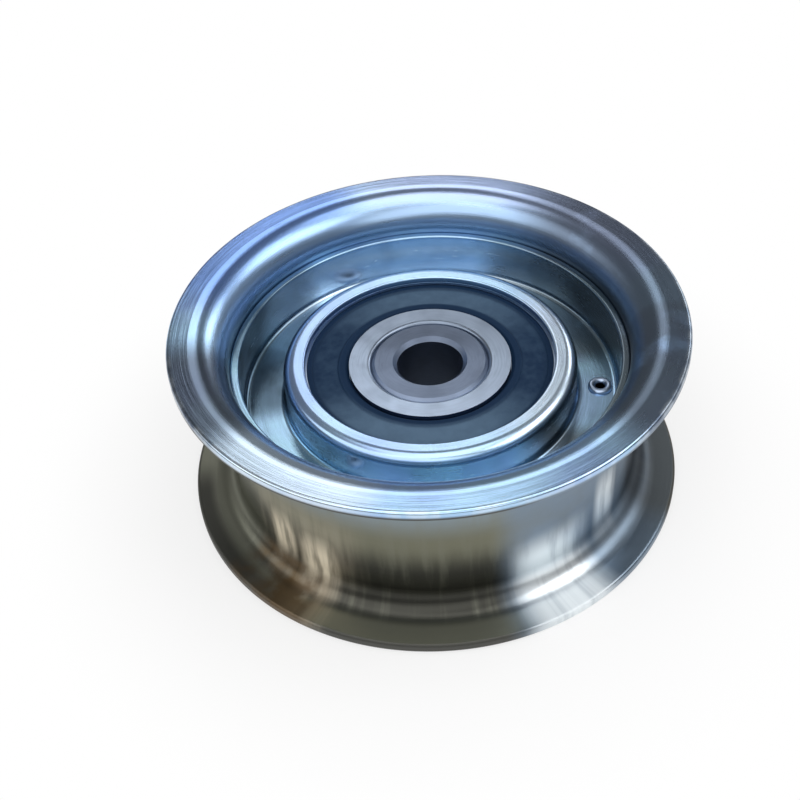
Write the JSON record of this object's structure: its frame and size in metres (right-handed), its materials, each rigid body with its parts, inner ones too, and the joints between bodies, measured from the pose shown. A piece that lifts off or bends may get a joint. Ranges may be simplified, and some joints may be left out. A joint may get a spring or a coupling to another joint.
{
  "type": "idler pulley",
  "caption": "Flanged sheet-metal idler pulley: a spool-shaped rim on a riveted two-piece hub, turning on a sealed ball bearing with a spacer bushing for a bolt.",
  "frame": {"origin": "centre of the bolt bore, halfway between the two flanges", "axes": "+Z along the axis of rotation, towards the rivets' rolled ends; +X through the first rivet"},
  "size_m": [0.073, 0.073, 0.0278],
  "materials": {
    "zinc_rim": "zinc plated sheet, belt face worn and brown",
    "zinc_hub": "zinc plated sheet",
    "rivet_steel": "plain steel",
    "bearing_steel": "ground",
    "ball_steel": "polished",
    "cage_steel": "pressed sheet",
    "seal_rubber": "moulded, matt",
    "core_steel": "thin sheet",
    "bushing_steel": "turned"
  },
  "bodies": {
    "core": {"bearing_inner_ring": "bearing_steel", "spacer_bushing": "bushing_steel"},
    "pulley": {"belt_rim": "zinc_rim", "upper_hub_cup": "zinc_hub", "lower_hub_cup": "zinc_hub", "hub_rivets": "rivet_steel", "bearing_outer_ring": "bearing_steel", "upper_seal": "seal_rubber", "upper_seal_core": "core_steel", "lower_seal": "seal_rubber", "lower_seal_core": "core_steel"},
    "ball_cage": {"upper_cage_half": "cage_steel", "lower_cage_half": "cage_steel", "cage_rivets": "cage_steel"},
    "rolling_ball_1": {"ball_1": "ball_steel"},
    "rolling_ball_2": {"ball_2": "ball_steel"},
    "rolling_ball_3": {"ball_3": "ball_steel"},
    "rolling_ball_4": {"ball_4": "ball_steel"},
    "rolling_ball_5": {"ball_5": "ball_steel"},
    "rolling_ball_6": {"ball_6": "ball_steel"},
    "rolling_ball_7": {"ball_7": "ball_steel"},
    "rolling_ball_8": {"ball_8": "ball_steel"}
  },
  "joints": [
    {"name": "pulley_spin", "type": "hinge", "parent": "core", "child": "pulley", "pos_m": [0, 0, 0], "axis": [0, 0, 1], "continuous": true},
    {"name": "cage_spin", "type": "hinge", "parent": "core", "child": "ball_cage", "pos_m": [0, 0, 0], "axis": [0, 0, 1], "continuous": true},
    {"name": "ball_1_roll", "type": "hinge", "parent": "ball_cage", "child": "rolling_ball_1", "pos_m": [0.01425, 0, 0], "axis": [0, 0, 1], "continuous": true},
    {"name": "ball_2_roll", "type": "hinge", "parent": "ball_cage", "child": "rolling_ball_2", "pos_m": [0.01008, 0.01008, 0], "axis": [0, 0, 1], "continuous": true},
    {"name": "ball_3_roll", "type": "hinge", "parent": "ball_cage", "child": "rolling_ball_3", "pos_m": [0, 0.01425, 0], "axis": [0, 0, 1], "continuous": true},
    {"name": "ball_4_roll", "type": "hinge", "parent": "ball_cage", "child": "rolling_ball_4", "pos_m": [-0.01008, 0.01008, 0], "axis": [0, 0, 1], "continuous": true},
    {"name": "ball_5_roll", "type": "hinge", "parent": "ball_cage", "child": "rolling_ball_5", "pos_m": [-0.01425, 0, 0], "axis": [0, 0, 1], "continuous": true},
    {"name": "ball_6_roll", "type": "hinge", "parent": "ball_cage", "child": "rolling_ball_6", "pos_m": [-0.01008, -0.01008, 0], "axis": [0, 0, 1], "continuous": true},
    {"name": "ball_7_roll", "type": "hinge", "parent": "ball_cage", "child": "rolling_ball_7", "pos_m": [0, -0.01425, 0], "axis": [0, 0, 1], "continuous": true},
    {"name": "ball_8_roll", "type": "hinge", "parent": "ball_cage", "child": "rolling_ball_8", "pos_m": [0.01008, -0.01008, 0], "axis": [0, 0, 1], "continuous": true}
  ],
  "couplings": [
    {"joint": "cage_spin", "follows": "pulley_spin", "ratio": 0.61837},
    {"joint": "ball_1_roll", "follows": "pulley_spin", "ratio": 1.9937},
    {"joint": "ball_2_roll", "follows": "pulley_spin", "ratio": 1.9937},
    {"joint": "ball_3_roll", "follows": "pulley_spin", "ratio": 1.9937},
    {"joint": "ball_4_roll", "follows": "pulley_spin", "ratio": 1.9937},
    {"joint": "ball_5_roll", "follows": "pulley_spin", "ratio": 1.9937},
    {"joint": "ball_6_roll", "follows": "pulley_spin", "ratio": 1.9937},
    {"joint": "ball_7_roll", "follows": "pulley_spin", "ratio": 1.9937},
    {"joint": "ball_8_roll", "follows": "pulley_spin", "ratio": 1.9937}
  ]
}
